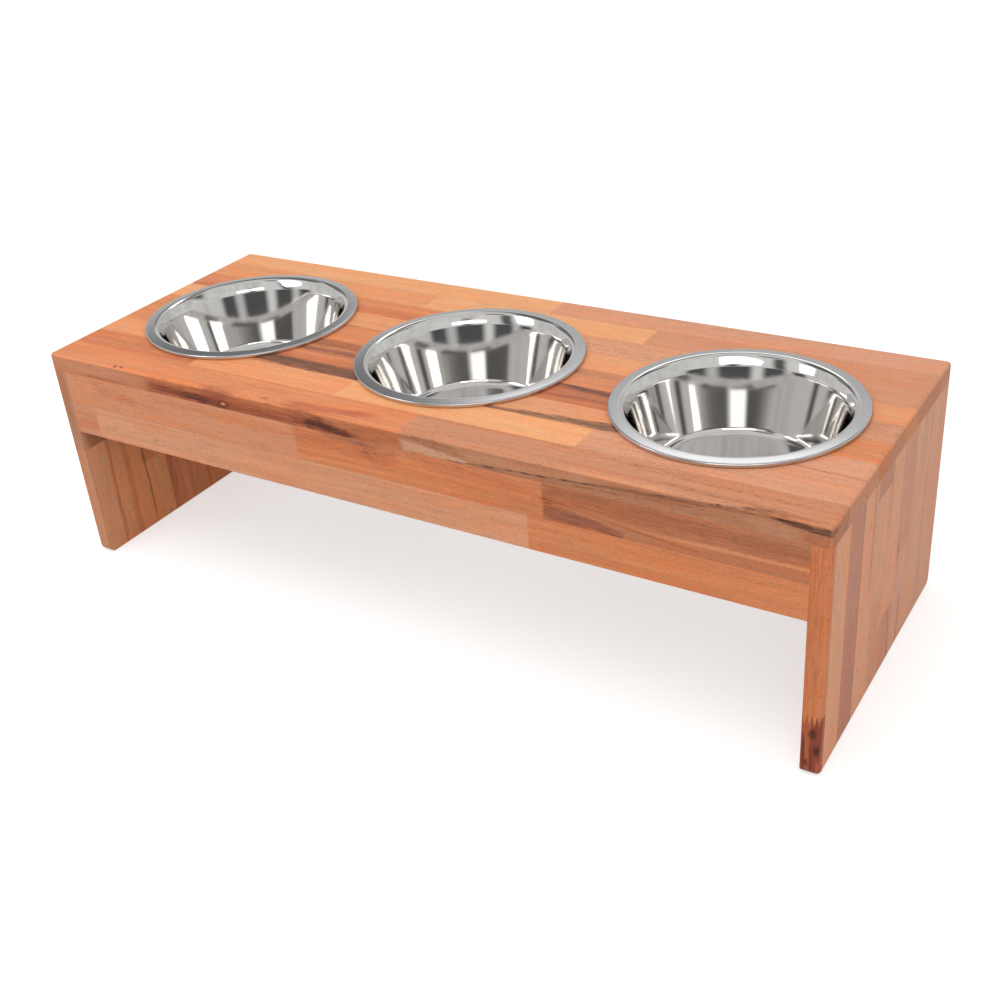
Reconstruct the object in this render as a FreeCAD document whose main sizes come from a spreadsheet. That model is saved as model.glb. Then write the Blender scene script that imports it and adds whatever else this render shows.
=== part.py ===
"""Raised dog bowl stand: a glued hardwood bench that holds three lift-out steel bowls.

X runs along the stand, Y from its front to its back and Z up from the floor. The origin lies on the
floor under the middle of the top board. Lengths are in millimetres.
"""

import FreeCAD
import Part

import os
import re

import Sketcher

# Driving sizes
SIZES = {
    # The bench
    "stand_length": 900.0,
    "stand_depth": 342.0,
    "stand_height": 260.0,
    "top_thick": 20.0,
    "leg_thick": 18.0,
    "apron_thick": 18.0,
    "apron_height": 76.0,
    # Rounded edges: the outer edges, the legs' lower corners seen from the side, the aprons' lower edges
    "edge_round": 4.0,
    "foot_round": 8.0,
    "apron_round": 2.0,
    # The narrow front strip of the right leg, with its finger joint
    "strip_width": 8.0,
    "finger_length": 10.0,
    "finger_tip": 0.8,
    # The bowls: the rim stands on the board, and the wall hangs through the hole
    "rim_diameter": 243.4,
    "rim_height": 4.5,
    "flange_width": 13.5,
    "flange_drop": 1.2,
    "bowl_depth": 78.0,
    "floor_diameter": 168.0,
    "sheet_thick": 0.8,
    "curl_width": 2.8,
    "curl_round": 1.8,
    "flare_width": 6.3,
    "flare_height": 11.0,
    "flare_round": 25.0,
    "mouth_round": 5.2,
    "floor_round": 9.0,
    "hole_gap": 2.0,
    # Dowels: how deep they sit in the board that they enter from its face, and how far a row of
    # them starts from the front of a leg or from the end of an apron
    "dowel_diameter": 8.0,
    "dowel_length": 35.0,
    "dowel_chamfer": 1.0,
    "dowel_in_top": 12.0,
    "dowel_in_leg": 11.0,
    "dowel_gap": 0.1,
    "glue_room": 0.8,
    "leg_dowel_margin": 57.0,
    "apron_dowel_margin": 132.0,
    # How far a cutting shape runs past what it cuts
    "overrun": 5.0,
}

# Edges and faces nearer than this lie in the same place
NEAR = 0.001

# Degrees in a whole turn
FULL_TURN = 360

# The bowls from left to right
BOWLS = ("left_bowl", "middle_bowl", "right_bowl")

# Counts
TOP_STAVES = 9
APRON_STAVES = 2
FINGERS = 4
LEG_DOWELS = 4
APRON_DOWELS = 5
END_DOWELS = 2

# Joints between the lengths of a stave, as shares of the stand's length from its left end.
# Staves are counted from the front of the top board and from the lower edge of an apron.
TOP_JOINT_SHARES = {
    1: (0.531,),
    2: (0.194, 0.413, 0.718),
    8: (0.36, 0.67),
    9: (0.523, 0.874),
}
FRONT_APRON_JOINT_SHARES = {1: (0.06, 0.683), 2: (0.386, 0.703)}
BACK_APRON_JOINT_SHARES = {1: (0.42, 0.79), 2: (0.28, 0.62)}

# Joints in the legs' staves, as shares of the leg's height, with staves counted from the front
LEFT_LEG_JOINT_SHARES = {1: (0.58,), 3: (0.35,), 6: (0.62,), 8: (0.4,)}
RIGHT_LEG_JOINT_SHARES = {5: (0.91,), 6: (0.285,), 7: (0.48,), 9: (0.7,)}
FINGER_JOINT_SHARE = 0.28

# What each gap between two rims takes of the length that the rims leave free
RIM_GAP_SHARE = 0.322

# Places worked out from the sizes
LEFT_END = "-stand_length / 2"
RIGHT_END = "stand_length / 2"
FRONT = "-stand_depth / 2"
BACK = "stand_depth / 2"
LEG_HEIGHT = "(stand_height - top_thick)"
APRON_FOOT = f"({LEG_HEIGHT} - apron_height)"
APRON_HALF = "(stand_length / 2 - leg_thick)"
STAVE = f"stand_depth / {TOP_STAVES}"
LEG_MIDDLE = "(stand_length / 2 - leg_thick / 2)"
APRON_MIDDLE = "(stand_depth / 2 - apron_thick / 2)"
DOWEL_HOLE = "dowel_diameter + 2 * dowel_gap"
MOUTH_RADIUS = "(rim_diameter / 2 - flange_width)"
MOUTH_HEIGHT = "(rim_height + flange_drop)"
BOWL_PITCH = f"(rim_diameter + {RIM_GAP_SHARE} * (stand_length - {len(BOWLS)} * rim_diameter))"
LEG_DOWEL_PITCH = f"(stand_depth - 2 * leg_dowel_margin) / {LEG_DOWELS - 1}"
APRON_DOWEL_PITCH = f"2 * ({APRON_HALF} - apron_dowel_margin) / {APRON_DOWELS - 1}"

doc = FreeCAD.newDocument("DogBowlStand")
sheet = doc.addObject("Spreadsheet::Sheet", "Sizes")


def fill_sheet():
    """Writes the driving sizes into the sheet, one named cell each."""
    for line, (name, size) in enumerate(SIZES.items(), start=1):
        sheet.set(f"A{line}", name)
        sheet.set(f"B{line}", str(size))
        sheet.setAlias(f"B{line}", name)
    doc.recompute()


def sized(text):
    """Gives each size in an expression the name of its sheet."""
    return re.sub(r"[a-z_]+", lambda word: f"Sizes.{word[0]}" if word[0] in SIZES else word[0], text)


def value(text):
    """Number that an expression of the sizes comes to."""
    return float(sheet.evalExpression(sized(text)))


def attach(sketch, body, plane, offset):
    """Lays a sketch on one of its body's origin planes, moved along that plane's normal."""
    planes = {feature.Role: feature for feature in body.Origin.OriginFeatures}
    sketch.AttachmentSupport = (planes[plane], [""])
    sketch.MapMode = "FlatFace"
    sketch.setExpression("AttachmentOffset.Base.z", sized(offset))


def hold_point(sketch, geometry, point, across, up):
    """Binds one point of a sketch to two distances from the origin."""
    for kind, text in (("DistanceX", across), ("DistanceY", up)):
        held = sketch.addConstraint(Sketcher.Constraint(kind, -1, 1, geometry, point, value(text)))
        sketch.setExpression(f"Constraints[{held}]", sized(text))


def outline(body, name, plane, corners, offset="0"):
    """Closed outline of straight runs through corners given as pairs of expressions."""
    sketch = body.newObject("Sketcher::SketchObject", name)
    attach(sketch, body, plane, offset)
    spots = [FreeCAD.Vector(value(across), value(up), 0) for across, up in corners]
    for start, end in zip(spots, spots[1:] + spots[:1]):
        sketch.addGeometry(Part.LineSegment(start, end))
    for run in range(len(spots)):
        sketch.addConstraint(Sketcher.Constraint("Coincident", run, 2, (run + 1) % len(spots), 1))
    for run, (across, up) in enumerate(corners):
        hold_point(sketch, run, 1, across, up)
    return sketch


def pad(body, name, sketch, length, backwards=False):
    """Thickens an outline along its normal, or against it."""
    feature = body.newObject("PartDesign::Pad", name)
    feature.Profile = sketch
    feature.setExpression("Length", sized(length))
    feature.Reversed = backwards
    doc.recompute()


def revolve(body, name, sketch, axis):
    """Turns an outline once round one of its sketch's axes."""
    feature = body.newObject("PartDesign::Revolution", name)
    feature.Profile = sketch
    feature.ReferenceAxis = (sketch, [axis])
    feature.Angle = FULL_TURN
    doc.recompute()
    return feature


def drill(body, name, plane, offset, centres, diameter, depth, backwards=False):
    """Round pockets of one diameter and depth, which must take material away."""
    sketch = body.newObject("Sketcher::SketchObject", f"{name}_centres")
    attach(sketch, body, plane, offset)
    up = FreeCAD.Vector(0, 0, 1)
    for hole, (x, y) in enumerate(centres):
        centre = FreeCAD.Vector(value(x), value(y), 0)
        sketch.addGeometry(Part.Circle(centre, up, value(diameter) / 2))
        hold_point(sketch, hole, 3, x, y)
        wide = sketch.addConstraint(Sketcher.Constraint("Diameter", hole, value(diameter)))
        sketch.setExpression(f"Constraints[{wide}]", sized(diameter))
    before = body.Shape.Volume
    pocket = body.newObject("PartDesign::Pocket", name)
    pocket.Profile = sketch
    pocket.setExpression("Length", sized(depth))
    pocket.Reversed = backwards
    doc.recompute()
    if body.Shape.Volume > before - NEAR:
        raise RuntimeError(f"{name} cuts nothing")


def round_edges(body, name, picked, radius):
    """Rounds the edges of a body whose boxes pass a test."""
    base = body.Tip
    names = [f"Edge{i}" for i, edge in enumerate(base.Shape.Edges, start=1) if picked(edge.BoundBox)]
    feature = body.newObject("PartDesign::Fillet", name)
    feature.Base = (base, names)
    feature.setExpression("Radius", sized(radius))
    doc.recompute()


def row(count, pitch):
    """Evenly spaced places about zero, as expressions."""
    return [f"{2 * place - count + 1} * {pitch} / 2" for place in range(count)]


def leg_dowel_places(side):
    """Centres of the dowels between a leg and the top board, seen from above."""
    return [(f"{side} * {LEG_MIDDLE}", y) for y in row(LEG_DOWELS, LEG_DOWEL_PITCH)]


def apron_dowel_places(side):
    """Centres of the dowels between an apron and the top board, seen from above."""
    return [(x, f"{side} * {APRON_MIDDLE}") for x in row(APRON_DOWELS, APRON_DOWEL_PITCH)]


def end_dowel_places(side):
    """Centres of the dowels in an apron's end: one in each stave, seen along the stand."""
    width = f"apron_height / {APRON_STAVES}"
    heights = [f"{APRON_FOOT} + ({number} + 1 / 2) * {width}" for number in range(END_DOWELS)]
    return [(f"{side} * {APRON_MIDDLE}", height) for height in heights]


def top_panel():
    """Top board as glued up: outer edges rounded, three bowl holes, dowel holes from below."""
    body = doc.addObject("PartDesign::Body", "top_panel")
    under = LEG_HEIGHT
    corners = [(LEFT_END, FRONT), (RIGHT_END, FRONT), (RIGHT_END, BACK), (LEFT_END, BACK)]
    pad(body, "top_board", outline(body, "top_outline", "XY_Plane", corners, under), "top_thick")
    lower = value(under)
    round_edges(body, "top_edges", lambda box: box.ZMax > lower + NEAR, "edge_round")
    holes = [(x, "0") for x in row(len(BOWLS), BOWL_PITCH)]
    hole = f"2 * ({MOUTH_RADIUS} + hole_gap)"
    drill(body, "bowl_holes", "XY_Plane", under, holes, hole, "top_thick + overrun", True)
    dowels = [place for side in (-1, 1) for place in leg_dowel_places(side) + apron_dowel_places(side)]
    drill(body, "top_dowel_holes", "XY_Plane", under, dowels, DOWEL_HOLE, "dowel_in_top", True)
    return body


def leg_panel(name, side):
    """Leg as glued up; its outer edges are rounded on down to the floor. Side is -1 at the left."""
    body = doc.addObject("PartDesign::Body", name)
    corners = [(FRONT, "0"), (BACK, "0"), (BACK, LEG_HEIGHT), (FRONT, LEG_HEIGHT)]
    start = f"{side} * {LEG_MIDDLE} - leg_thick / 2"
    pad(body, f"{name}_board", outline(body, f"{name}_outline", "YZ_Plane", corners, start), "leg_thick")
    top, half = value(LEG_HEIGHT), value("stand_length / 2")
    round_edges(
        body,
        f"{name}_corners",
        lambda box: box.ZMax < NEAR and box.XLength > NEAR and box.YLength < NEAR,
        "foot_round",
    )
    round_edges(
        body,
        f"{name}_edges",
        lambda box: side * (box.XMin + box.XMax) / 2 > half - NEAR and box.ZMin < top - NEAR,
        "edge_round",
    )
    deep = "dowel_length - dowel_in_top + glue_room"
    drill(body, f"{name}_top_holes", "XY_Plane", LEG_HEIGHT, leg_dowel_places(side), DOWEL_HOLE, deep)
    ends = end_dowel_places(-1) + end_dowel_places(1)
    inner = f"{side} * {APRON_HALF}"
    drill(body, f"{name}_side_holes", "YZ_Plane", inner, ends, DOWEL_HOLE, "dowel_in_leg", side > 0)
    return body


def apron_panel(name, side):
    """Apron between the legs, flush with their edges. Side is -1 at the front."""
    body = doc.addObject("PartDesign::Body", name)
    corners = [
        (f"-{APRON_HALF}", APRON_FOOT),
        (APRON_HALF, APRON_FOOT),
        (APRON_HALF, LEG_HEIGHT),
        (f"-{APRON_HALF}", LEG_HEIGHT),
    ]
    front = f"-({side} * {APRON_MIDDLE} - apron_thick / 2)"
    sketch = outline(body, f"{name}_outline", "XZ_Plane", corners, front)
    pad(body, f"{name}_board", sketch, "apron_thick", True)
    foot = value(APRON_FOOT)
    round_edges(
        body,
        f"{name}_edges",
        lambda box: box.ZMax < foot + NEAR and box.XLength > box.YLength,
        "apron_round",
    )
    places = apron_dowel_places(side)
    deep = "dowel_length - dowel_in_top + glue_room"
    drill(body, f"{name}_top_holes", "XY_Plane", LEG_HEIGHT, places, DOWEL_HOLE, deep)
    deep = "dowel_length - dowel_in_leg + glue_room"
    ends = end_dowel_places(side)
    for end, label in ((-1, "left"), (1, "right")):
        face = f"{end} * {APRON_HALF}"
        drill(body, f"{name}_{label}_holes", "YZ_Plane", face, ends, DOWEL_HOLE, deep, end < 0)
    return body


def slab(name, ranges):
    """Block between a low and a high expression along X, Y and Z."""
    box = doc.addObject("Part::Box", name)
    for axis, size, (low, high) in zip("xyz", ("Length", "Width", "Height"), ranges):
        box.setExpression(f"Placement.Base.{axis}", sized(low))
        box.setExpression(size, sized(f"({high}) - ({low})"))
    return box


def shared(name, panel, tool):
    """What a panel and a cutting shape have in common."""
    common = doc.addObject("Part::Common", name)
    common.Base = panel
    common.Tool = tool
    return common


def stave(label, panel, ranges, along, joints):
    """One stave of a panel, as the separate lengths between its joints along one axis."""
    low, high = ranges[along]
    stops = [low, *joints, high]
    lengths = []
    for number, stretch in enumerate(zip(stops, stops[1:]), start=1):
        here = [stretch if axis == along else reach for axis, reach in enumerate(ranges)]
        tool = slab(f"{label}_cut_{number}", here)
        lengths.append(shared(f"{label}_length_{number}", panel, tool))
    return named(label, lengths)


def named(label, pieces):
    """Gives one piece, or a group of separate pieces, the name of its sub-part."""
    node = pieces[0]
    if len(pieces) > 1:
        node = doc.addObject("Part::Compound", label)
        node.Links = pieces
    node.Label = label
    return node


def past(low, high):
    """Range that runs past both of its ends."""
    return (f"{low} - overrun", f"{high} + overrun")


def stave_range(number, count, start, width):
    """Range of one stave across its panel, which runs past the panel's own edges."""
    low = f"{start} + {number - 1} * {width}" + (" - overrun" if number == 1 else "")
    high = f"{start} + {number} * {width}" + (" + overrun" if number == count else "")
    return (low, high)


def lengthwise(shares):
    """Places along the stand for a stave's joints."""
    return [f"({share} - 1 / 2) * stand_length" for share in shares]


def upwards(shares):
    """Heights in a leg for a stave's joints."""
    return [f"{share} * {LEG_HEIGHT}" for share in shares]


def top_staves(panel):
    """Staves of the top board, counted from the front."""
    nodes = []
    for number in range(1, TOP_STAVES + 1):
        across = stave_range(number, TOP_STAVES, FRONT, STAVE)
        ranges = [past(LEFT_END, RIGHT_END), across, past(LEG_HEIGHT, "stand_height")]
        joints = lengthwise(TOP_JOINT_SHARES.get(number, ()))
        nodes.append(stave(f"top_stave_{number}", panel, ranges, 0, joints))
    return nodes


def left_leg_staves(panel):
    """Staves of the left leg, in line with those of the top board."""
    nodes = []
    for number in range(1, TOP_STAVES + 1):
        across = stave_range(number, TOP_STAVES, FRONT, STAVE)
        ranges = [past(LEFT_END, f"-{APRON_HALF}"), across, past("0", LEG_HEIGHT)]
        joints = upwards(LEFT_LEG_JOINT_SHARES.get(number, ()))
        nodes.append(stave(f"left_leg_stave_{number}", panel, ranges, 2, joints))
    return nodes


def right_leg_staves(panel):
    """Staves of the right leg behind its front strip; the last one is narrower by the strip."""
    nodes = []
    for number in range(2, TOP_STAVES + 2):
        low = f"{FRONT} + strip_width + {number - 2} * {STAVE}"
        high = f"{BACK} + overrun" if number > TOP_STAVES else f"{low} + {STAVE}"
        ranges = [past(APRON_HALF, RIGHT_END), (low, high), past("0", LEG_HEIGHT)]
        joints = upwards(RIGHT_LEG_JOINT_SHARES.get(number, ()))
        nodes.append(stave(f"right_leg_stave_{number}", panel, ranges, 2, joints))
    return nodes


def right_leg_strip(panel):
    """Narrow front strip of the right leg: two lengths, finger jointed through its thickness."""
    label = "right_leg_stave_1"
    joint = f"{FINGER_JOINT_SHARE} * {LEG_HEIGHT}"
    pitch = f"leg_thick / {FINGERS}"
    corners = [
        (f"{RIGHT_END} + overrun", f"{LEG_HEIGHT} + overrun"),
        (f"{APRON_HALF} - overrun", f"{LEG_HEIGHT} + overrun"),
        (f"{APRON_HALF} - overrun", joint),
    ]
    for finger in range(FINGERS):
        start = f"{APRON_HALF} + {finger} * {pitch}"
        middle = f"{APRON_HALF} + ({finger} + 1 / 2) * {pitch}"
        end = f"{APRON_HALF} + {finger + 1} * {pitch}"
        corners.append((f"{start} + finger_tip / 2", joint))
        corners.append((f"{middle} - finger_tip / 2", f"{joint} - finger_length"))
        corners.append((f"{middle} + finger_tip / 2", f"{joint} - finger_length"))
        corners.append((f"{end} - finger_tip / 2", joint))
    corners.append((f"{RIGHT_END} + overrun", joint))
    comb = doc.addObject("PartDesign::Body", "finger_comb")
    sketch = outline(comb, "finger_outline", "XZ_Plane", corners, "stand_depth / 2 + overrun")
    pad(comb, "fingers", sketch, "strip_width + overrun", True)
    across = (f"{FRONT} - overrun", f"{FRONT} + strip_width")
    reach = slab(f"{label}_reach", [past(APRON_HALF, RIGHT_END), across, past("0", LEG_HEIGHT)])
    below = doc.addObject("Part::Cut", f"{label}_below")
    below.Base = reach
    below.Tool = comb
    return named(label, [shared(f"{label}_upper", panel, comb), shared(f"{label}_lower", panel, below)])


def apron_staves(name, panel, side, shares):
    """Two staves of an apron, the lower one first."""
    nodes = []
    across = past(f"{side} * {APRON_MIDDLE} - apron_thick / 2", f"{side} * {APRON_MIDDLE} + apron_thick / 2")
    for number, place in ((1, "lower"), (2, "upper")):
        height = stave_range(number, APRON_STAVES, APRON_FOOT, f"apron_height / {APRON_STAVES}")
        ranges = [past(f"-{APRON_HALF}", APRON_HALF), across, height]
        nodes.append(stave(f"{name}_{place}_stave", panel, ranges, 0, lengthwise(shares[number])))
    return nodes


def bowl(label, place):
    """Pressed steel bowl: flat floor, sloping wall that flares to the mouth, flange with a curled rim."""
    body = doc.addObject("PartDesign::Body", label)
    body.Label = label
    neck = f"({MOUTH_RADIUS} - flare_width)"
    neck_height = f"({MOUTH_HEIGHT} - flare_height)"
    wall = f"(({neck} - floor_diameter / 2) / (bowl_depth - flare_height))"
    flare = "(flare_width / flare_height)"
    wall_stretch = f"sqrt(1 + {wall}^2)"
    flare_stretch = f"sqrt(1 + {flare}^2)"
    neck_shift = f"(sheet_thick * ({flare_stretch} - {wall_stretch}) / ({wall} - {flare}))"
    rim = "rim_diameter / 2"
    floor = f"{MOUTH_HEIGHT} - bowl_depth"
    corners = {
        "floor_middle": ("0", floor),
        "floor_edge": ("floor_diameter / 2", floor),
        "neck": (neck, neck_height),
        "mouth": (MOUTH_RADIUS, MOUTH_HEIGHT),
        "rim_top": (rim, "rim_height"),
        "rim_foot": (rim, "0"),
        "curl_end": (f"{rim} - curl_width", "0"),
        "curl_lip": (f"{rim} - curl_width", "sheet_thick"),
        "curl_low": (f"{rim} - sheet_thick", "sheet_thick"),
        "curl_high": (f"{rim} - sheet_thick", "rim_height - sheet_thick"),
        "throat": (
            f"{MOUTH_RADIUS} + sheet_thick * ({flare_stretch} - {flare})",
            f"{MOUTH_HEIGHT} - sheet_thick",
        ),
        "neck_back": (
            f"{neck} + {wall} * {neck_shift} + sheet_thick * {wall_stretch}",
            f"{neck_height} + {neck_shift}",
        ),
        "base_edge": (
            f"floor_diameter / 2 + sheet_thick * ({wall_stretch} - {wall})",
            f"{floor} - sheet_thick",
        ),
        "base_middle": ("0", f"{floor} - sheet_thick"),
    }
    sketch = outline(body, f"{label}_section", "XZ_Plane", list(corners.values()))
    revolve(body, f"{label}_sheet", sketch, "V_Axis")
    bends = (
        ("floor_edge", "floor_round"),
        ("base_edge", "floor_round + sheet_thick"),
        ("neck", "flare_round + sheet_thick"),
        ("neck_back", "flare_round"),
        ("mouth", "mouth_round + sheet_thick"),
        ("throat", "mouth_round"),
        ("rim_top", "curl_round"),
        ("rim_foot", "curl_round"),
        ("curl_high", "curl_round - sheet_thick"),
        ("curl_low", "curl_round - sheet_thick"),
    )
    for corner, radius in bends:
        wide, height = (value(text) for text in corners[corner])
        round_edges(
            body,
            f"{label}_{corner}_bend",
            lambda box: abs(box.XMax - wide) < NEAR and abs(box.ZMin - height) < NEAR and box.ZLength < NEAR,
            radius,
        )
    body.setExpression("Placement.Base.x", sized(place))
    body.setExpression("Placement.Base.z", sized("stand_height"))
    return body


def dowel_row(label, upright, first, direction, count, pitch):
    """Row of chamfered dowels that start at one place, upright or lying along the stand."""
    body = doc.addObject("PartDesign::Body", label)
    body.Label = label
    body.AllowCompound = True
    section = [
        ("0", "0"),
        ("dowel_diameter / 2 - dowel_chamfer", "0"),
        ("dowel_diameter / 2", "dowel_chamfer"),
        ("dowel_diameter / 2", "dowel_length - dowel_chamfer"),
        ("dowel_diameter / 2 - dowel_chamfer", "dowel_length"),
        ("0", "dowel_length"),
    ]
    if upright:
        sketch = outline(body, f"{label}_section", "XZ_Plane", section)
        turned = revolve(body, f"{label}_first", sketch, "V_Axis")
    else:
        sketch = outline(body, f"{label}_section", "XY_Plane", [(along, out) for out, along in section])
        turned = revolve(body, f"{label}_first", sketch, "H_Axis")
    pattern = body.newObject("PartDesign::LinearPattern", f"{label}_row")
    pattern.Originals = [turned]
    axes = {feature.Role: feature for feature in body.Origin.OriginFeatures}
    pattern.Direction = (axes[direction], [""])
    pattern.Occurrences = count
    pattern.setExpression("Length", sized(f"{count - 1} * {pitch}"))
    body.Tip = pattern
    for axis, text in zip("xyz", first):
        body.setExpression(f"Placement.Base.{axis}", sized(text))
    return body


def dowels():
    """All dowels: legs to top, aprons to top, aprons to legs."""
    nodes = []
    foot = f"{LEG_HEIGHT} + dowel_in_top - dowel_length"
    for name, side in (("left", -1), ("right", 1)):
        x, y = leg_dowel_places(side)[0]
        label = f"{name}_leg_dowels"
        nodes.append(dowel_row(label, True, (x, y, foot), "Y_Axis", LEG_DOWELS, LEG_DOWEL_PITCH))
    for name, side in (("front", -1), ("back", 1)):
        x, y = apron_dowel_places(side)[0]
        label = f"{name}_apron_top_dowels"
        nodes.append(dowel_row(label, True, (x, y, foot), "X_Axis", APRON_DOWELS, APRON_DOWEL_PITCH))
        y, z = end_dowel_places(side)[0]
        starts = {
            "left": f"-{APRON_HALF} - dowel_in_leg",
            "right": f"{APRON_HALF} + dowel_in_leg - dowel_length",
        }
        for end, x in starts.items():
            label = f"{name}_apron_{end}_dowels"
            pitch = f"apron_height / {APRON_STAVES}"
            nodes.append(dowel_row(label, False, (x, y, z), "Z_Axis", END_DOWELS, pitch))
    return nodes


def build():
    """Makes every sub-part and returns them."""
    fill_sheet()
    right_leg = leg_panel("right_leg_panel", 1)
    nodes = top_staves(top_panel())
    nodes += left_leg_staves(leg_panel("left_leg_panel", -1))
    nodes.append(right_leg_strip(right_leg))
    nodes += right_leg_staves(right_leg)
    nodes += apron_staves("front_apron", apron_panel("front_apron_panel", -1), -1, FRONT_APRON_JOINT_SHARES)
    nodes += apron_staves("back_apron", apron_panel("back_apron_panel", 1), 1, BACK_APRON_JOINT_SHARES)
    for label, place in zip(BOWLS, row(len(BOWLS), BOWL_PITCH)):
        nodes.append(bowl(label, place))
    nodes += dowels()
    doc.recompute()
    return nodes


def check(nodes):
    """Stops on any failed object and on any empty or faulty solid."""
    for thing in doc.Objects:
        if "Invalid" in thing.State or "Error" in thing.State:
            raise RuntimeError(f"{thing.Name} failed: {thing.State}")
    for node in nodes:
        if node.Shape.isNull() or not node.Shape.isValid() or not node.Shape.Solids:
            raise RuntimeError(f"{node.Label} has no sound shape")


def write(nodes):
    """Writes each sub-part to a file of its own name."""
    os.makedirs("parts", exist_ok=True)
    for node in nodes:
        node.Shape.exportStep(os.path.join("parts", f"{node.Label}.step"))
        print(node.Label, len(node.Shape.Solids), round(node.Shape.Volume))


sub_parts = build()
check(sub_parts)
write(sub_parts)
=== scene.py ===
"""Looks of a raised dog bowl stand: oiled beech staves and polished steel bowls on a pale studio floor."""

import logging
import math
import random
from dataclasses import dataclass, field
from enum import Enum
from typing import Any, Optional, Union

import bmesh
import bpy
import numpy as np
from mathutils import Matrix, Vector


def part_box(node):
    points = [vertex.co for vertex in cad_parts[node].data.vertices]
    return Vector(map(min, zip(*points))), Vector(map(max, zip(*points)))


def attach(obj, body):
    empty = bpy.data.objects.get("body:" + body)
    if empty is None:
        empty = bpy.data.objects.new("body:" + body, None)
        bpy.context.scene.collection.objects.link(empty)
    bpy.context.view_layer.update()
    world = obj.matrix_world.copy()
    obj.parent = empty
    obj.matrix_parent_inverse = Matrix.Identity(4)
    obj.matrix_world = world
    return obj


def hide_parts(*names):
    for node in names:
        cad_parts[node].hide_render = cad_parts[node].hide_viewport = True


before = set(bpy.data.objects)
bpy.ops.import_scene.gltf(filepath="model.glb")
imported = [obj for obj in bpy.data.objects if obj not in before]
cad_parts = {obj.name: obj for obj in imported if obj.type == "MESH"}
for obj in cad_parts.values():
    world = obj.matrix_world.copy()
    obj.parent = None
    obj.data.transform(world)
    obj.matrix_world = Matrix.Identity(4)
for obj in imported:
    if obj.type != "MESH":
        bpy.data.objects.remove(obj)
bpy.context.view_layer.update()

log = logging.getLogger("dog_bowl_stand")

MM = 0.001
PER_METRE = 1000.0
# Degrees of an arc that one straight piece spans, and the fewest pieces in an arc
ARC_STEP = 7.0
FEWEST_STEPS = 4
Colour = tuple[float, float, float]
Pair = tuple[float, float]
Place = tuple[float, float, float]
Number = Union[float, "Signal"]


class Beech(Enum):
    """Tones of beech with red heart, in linear light."""

    CREAM = (0.76, 0.43, 0.27)
    HONEY = (0.765, 0.375, 0.175)
    APRICOT = (0.725, 0.31, 0.14)
    PEACH = (0.69, 0.33, 0.185)
    BLUSH = (0.665, 0.315, 0.19)
    ROSE = (0.62, 0.275, 0.155)
    TAN = (0.56, 0.25, 0.132)
    ORANGE = (0.675, 0.256, 0.11)
    AMBER = (0.545, 0.175, 0.072)
    RUSSET = (0.43, 0.115, 0.05)
    MAUVE = (0.54, 0.225, 0.135)
    CLAY = (0.46, 0.19, 0.105)
    ASH = (0.40, 0.18, 0.10)
    UMBER = (0.34, 0.12, 0.055)
    PLUM = (0.27, 0.095, 0.062)
    HEART = (0.10, 0.058, 0.043)
    GARNET = (0.17, 0.036, 0.02)
    KNOT = (0.05, 0.016, 0.012)


class Grain(Enum):
    """Which way a panel's fibres run: the order of X, Y and Z as along, across and deep."""

    FLAT = (0, 1, 2)
    RAIL = (0, 2, 1)
    UPRIGHT = (2, 1, 0)


class Signal:
    """One value of a shader, which takes part in Python sums."""

    def __init__(self, graph: "Graph", socket: bpy.types.NodeSocket) -> None:
        """Keeps the socket and the graph that it belongs to."""
        self.graph = graph
        self.socket = socket

    def __add__(self, other: Number) -> "Signal":
        """Sum."""
        return self.graph.maths("ADD", self, other)

    __radd__ = __add__

    def __sub__(self, other: Number) -> "Signal":
        """Difference."""
        return self.graph.maths("SUBTRACT", self, other)

    def __rsub__(self, other: Number) -> "Signal":
        """Difference from a number."""
        return self.graph.maths("SUBTRACT", other, self)

    def __mul__(self, other: Number) -> "Signal":
        """Product."""
        return self.graph.maths("MULTIPLY", self, other)

    __rmul__ = __mul__

    def __truediv__(self, other: Number) -> "Signal":
        """Quotient."""
        return self.graph.maths("DIVIDE", self, other)

    def __rtruediv__(self, other: Number) -> "Signal":
        """Quotient of a number."""
        return self.graph.maths("DIVIDE", other, self)

    def __abs__(self) -> "Signal":
        """Size without sign."""
        return self.graph.maths("ABSOLUTE", self)

    def __mod__(self, other: Number) -> "Signal":
        """Remainder that is never negative."""
        return self.graph.maths("FLOORED_MODULO", self, other)


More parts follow.
